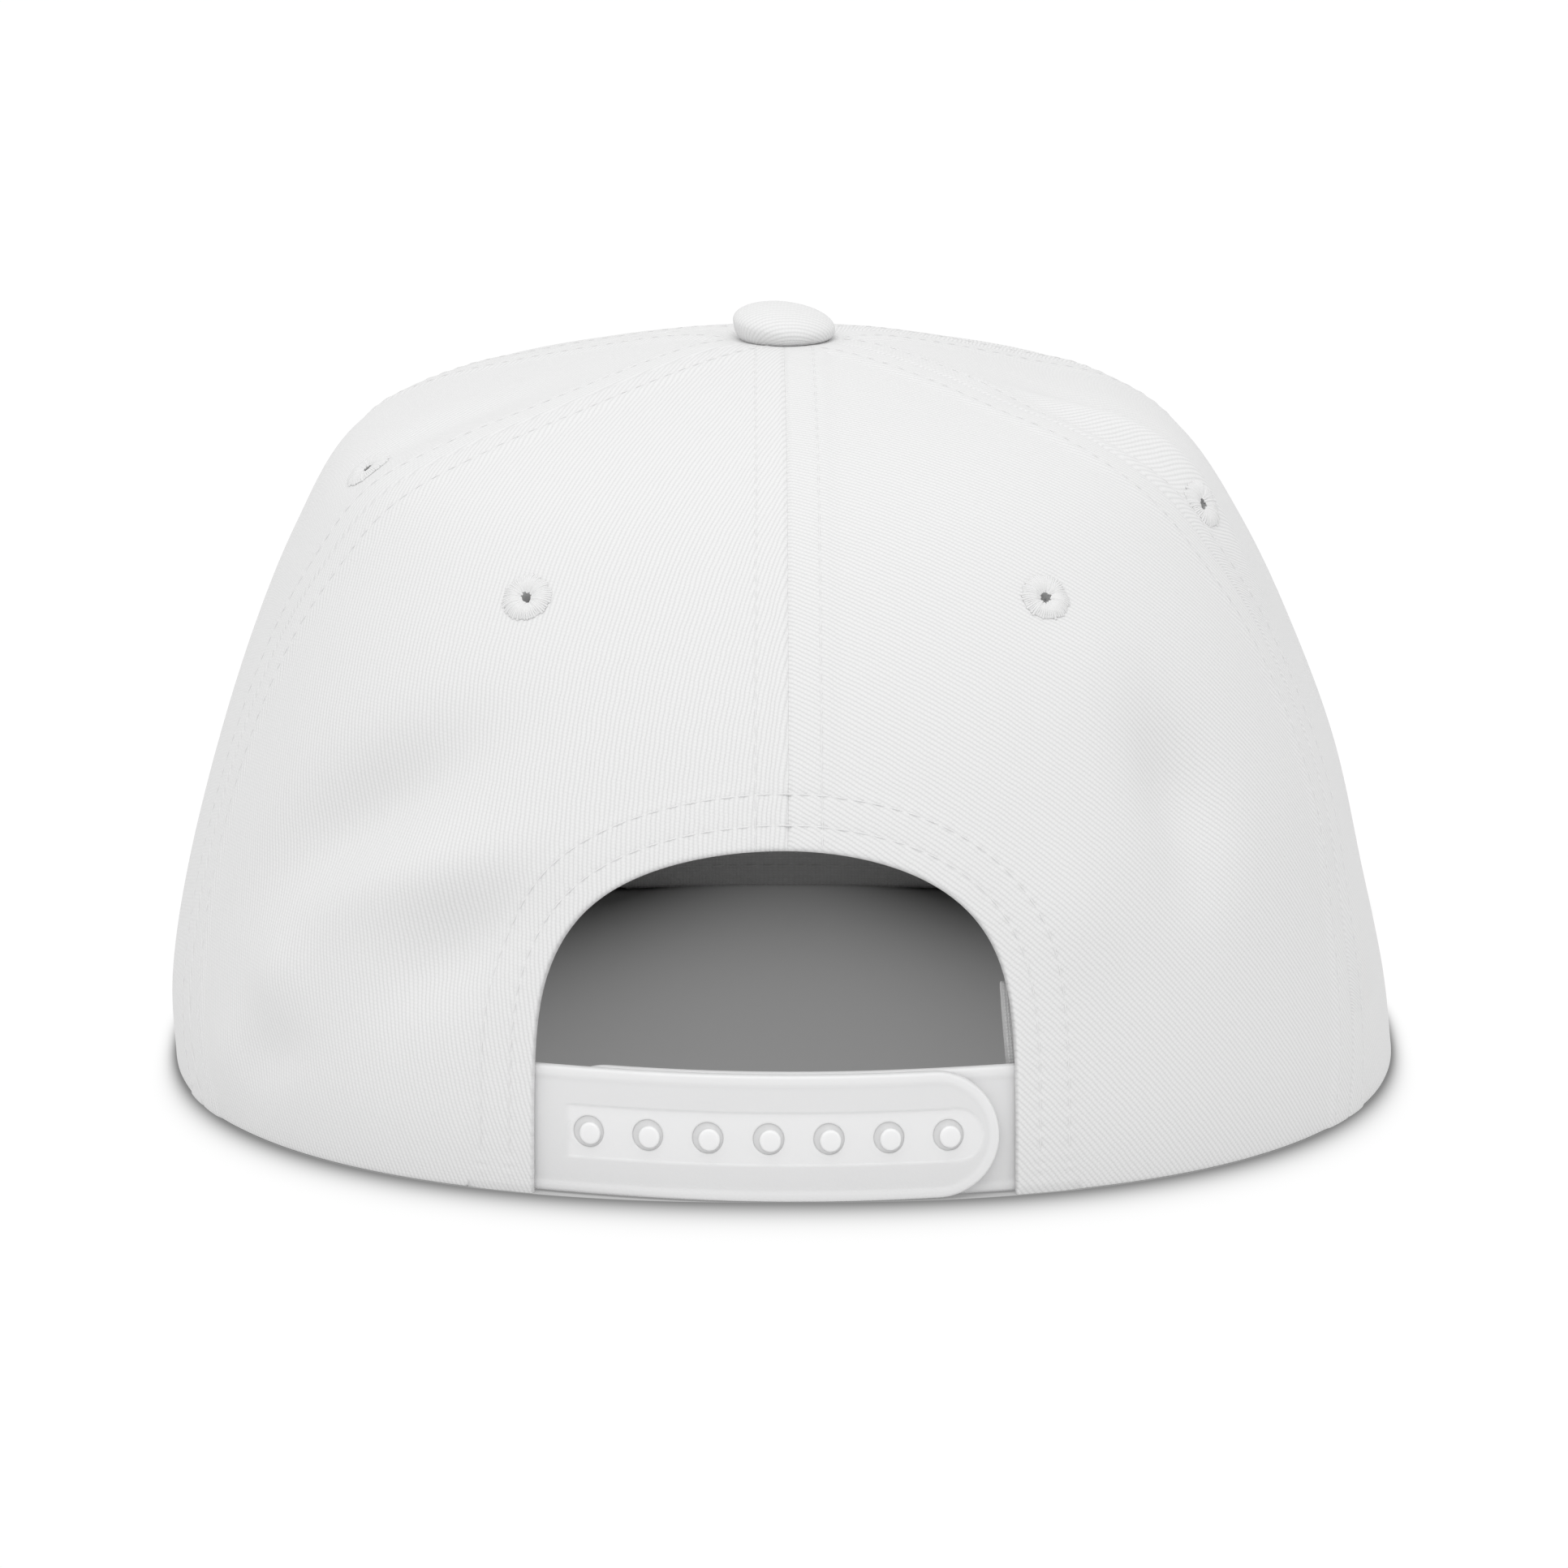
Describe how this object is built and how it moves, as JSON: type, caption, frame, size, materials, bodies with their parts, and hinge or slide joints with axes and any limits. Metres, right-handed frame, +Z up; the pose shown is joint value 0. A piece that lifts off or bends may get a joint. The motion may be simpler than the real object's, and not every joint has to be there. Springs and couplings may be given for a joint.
{
  "type": "snapback cap",
  "caption": "Stiffened six-panel fabric cap with a flat peak, covered top button, sewn eyelets, inner sweatband and plastic snap straps across an arched rear opening.",
  "frame": {"origin": "middle of the footprint's bounding box, on the surface that the cap rests on", "axes": "+Z up, -Y towards the peak's front edge, +Y towards the rear opening, +X towards the wearer's left"},
  "size_m": [0.175, 0.2584, 0.106],
  "materials": {
    "twill": "white cotton twill, fine diagonal weave",
    "band_cloth": "white plain cotton",
    "thread": "white sewing thread",
    "strap_plastic": "milky, slightly translucent soft plastic"
  },
  "bodies": {
    "root": {"front_left_panel": "twill", "front_right_panel": "twill", "side_left_panel": "twill", "side_right_panel": "twill", "back_left_panel": "twill", "back_right_panel": "twill", "top_button": "twill", "peak": "twill", "sweatband": "band_cloth", "snap_strap": "strap_plastic", "peg_strap": "strap_plastic", "back_left_eyelet": "thread", "back_right_eyelet": "thread", "side_left_eyelet": "thread", "side_right_eyelet": "thread", "front_left_eyelet": "thread", "front_right_eyelet": "thread"}
  },
  "joints": []
}
